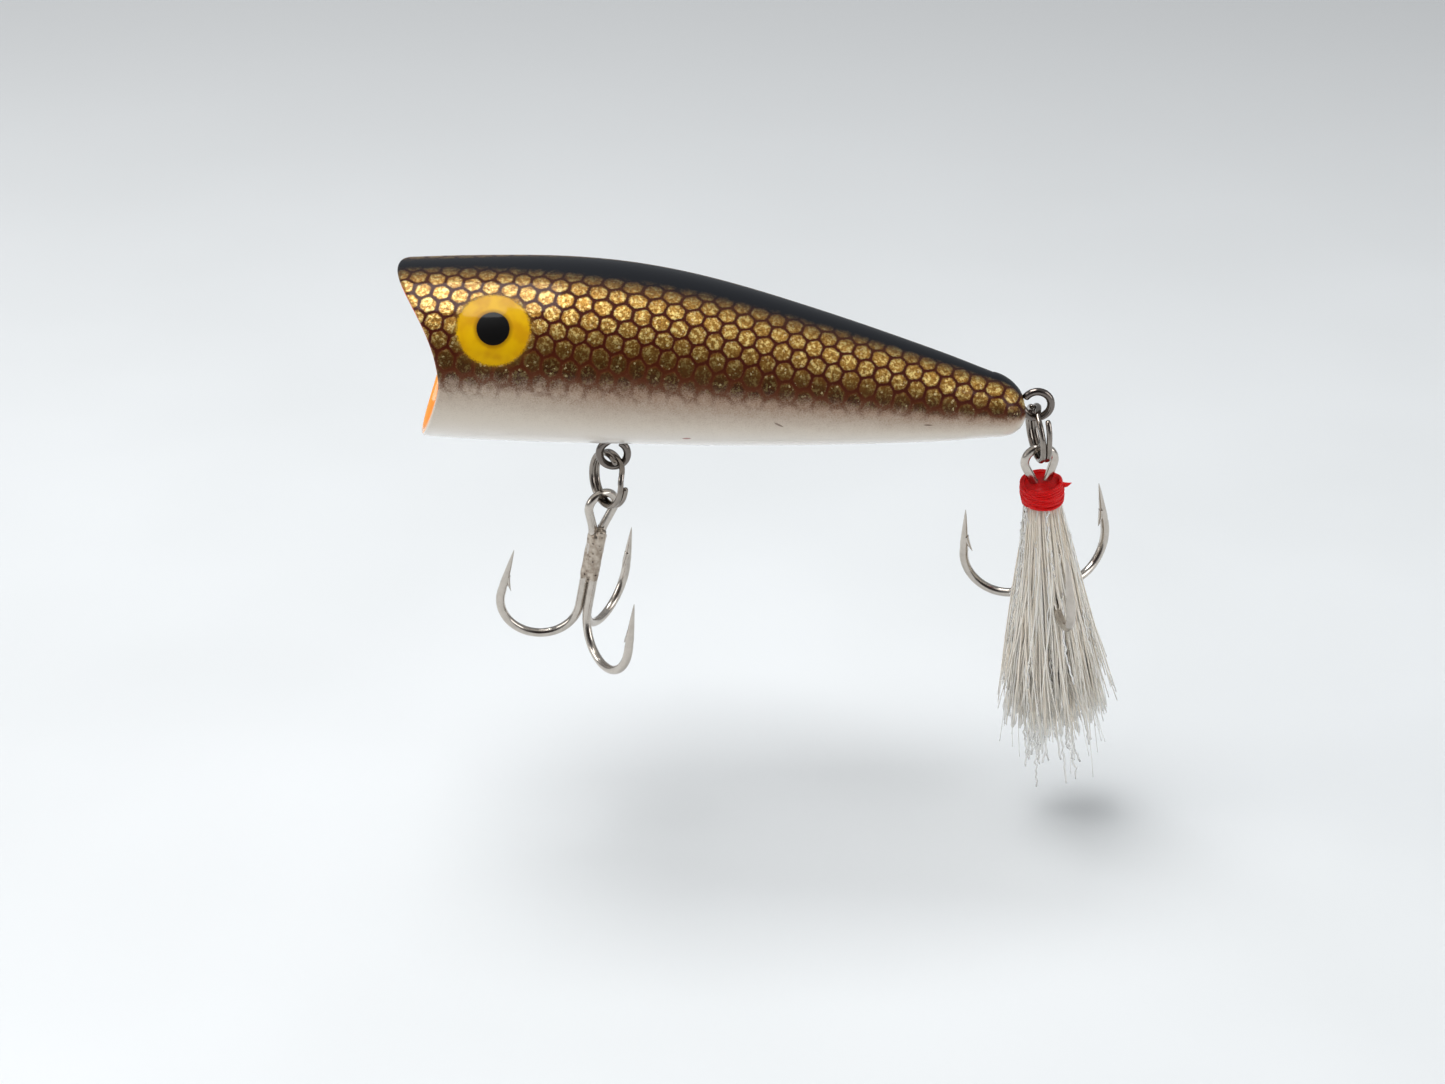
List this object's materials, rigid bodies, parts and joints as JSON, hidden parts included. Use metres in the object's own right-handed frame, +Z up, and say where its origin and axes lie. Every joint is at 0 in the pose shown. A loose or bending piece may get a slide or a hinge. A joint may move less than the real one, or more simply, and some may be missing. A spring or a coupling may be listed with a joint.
{
  "type": "topwater popper",
  "caption": "Floating fishing plug with a cupped mouth that spits water, a belly treble hook and a dressed tail treble hook on split rings.",
  "frame": {"origin": "centre of the line-tie eye in the mouth's cup", "axes": "+X from the mouth to the tail, +Z up towards the dark back, -Y towards the lure's left side"},
  "size_m": [0.0749, 0.02, 0.0647],
  "materials": {
    "shell_paint": "gold scale paint under clear gloss, dark back, pale belly, orange cup",
    "screw_eye_wire": "dark nickel plated wire",
    "split_ring_wire": "dark nickel plated spring wire",
    "hook_wire": "bright nickel plated carbon steel",
    "braze": "tarnished brazing with a rough skin",
    "thread": "glossy red thread under lacquer",
    "hair": "off-white straight hair",
    "tinsel": "clear and silver crinkled film strands",
    "ballast": "plain turned steel",
    "ball": "polished steel"
  },
  "bodies": {
    "lure_body": {"left_shell": "shell_paint", "right_shell": "shell_paint", "line_tie": "screw_eye_wire", "belly_screw_eye": "screw_eye_wire", "tail_screw_eye": "screw_eye_wire", "tail_ballast": "ballast"},
    "rattle_1": {"rattle_ball_1": "ball"},
    "rattle_2": {"rattle_ball_2": "ball"},
    "rattle_3": {"rattle_ball_3": "ball"},
    "belly_ring": {"belly_split_ring": "split_ring_wire"},
    "belly_hook": {"belly_double_hook": "hook_wire", "belly_single_hook": "hook_wire", "belly_braze": "braze"},
    "tail_ring": {"tail_split_ring": "split_ring_wire"},
    "tail_hook": {"tail_double_hook": "hook_wire", "tail_single_hook": "hook_wire", "tail_braze": "braze", "thread_wrap": "thread", "hair_dressing": "hair", "tinsel_strands": "tinsel"}
  },
  "joints": [
    {"name": "belly_ring_swing", "type": "hinge", "parent": "lure_body", "child": "belly_ring", "pos_m": [0.0141, 0, -0.0117], "axis": [0, 1, 0], "range_deg": [-55, 34]},
    {"name": "belly_hook_swing", "type": "hinge", "parent": "belly_ring", "child": "belly_hook", "pos_m": [0.01354, 0.00028, -0.01479], "axis": [0.829, 0.5498, -0.1018], "range_deg": [-70, 50]},
    {"name": "tail_ring_swing", "type": "hinge", "parent": "lure_body", "child": "tail_ring", "pos_m": [0.0578, 0, -0.0061], "axis": [0, 1, 0], "range_deg": [-58, 30]},
    {"name": "tail_hook_swing", "type": "hinge", "parent": "tail_ring", "child": "tail_hook", "pos_m": [0.05818, 0.0003, -0.00952], "axis": [0.9762, 0.1781, 0.1235], "range_deg": [-70, 50]},
    {"name": "rattle_1_slide", "type": "slide", "parent": "lure_body", "child": "rattle_1", "axis": [1, 0, 0], "range_m": [-0.0029, 0.0029]},
    {"name": "rattle_2_slide", "type": "slide", "parent": "lure_body", "child": "rattle_2", "axis": [1, 0, 0], "range_m": [-0.0029, 0.0029]},
    {"name": "rattle_3_slide", "type": "slide", "parent": "lure_body", "child": "rattle_3", "axis": [1, 0, 0], "range_m": [-0.0029, 0.0029]}
  ],
  "couplings": [
    {"joint": "rattle_2_slide", "follows": "rattle_1_slide", "ratio": 1},
    {"joint": "rattle_3_slide", "follows": "rattle_1_slide", "ratio": 1}
  ]
}
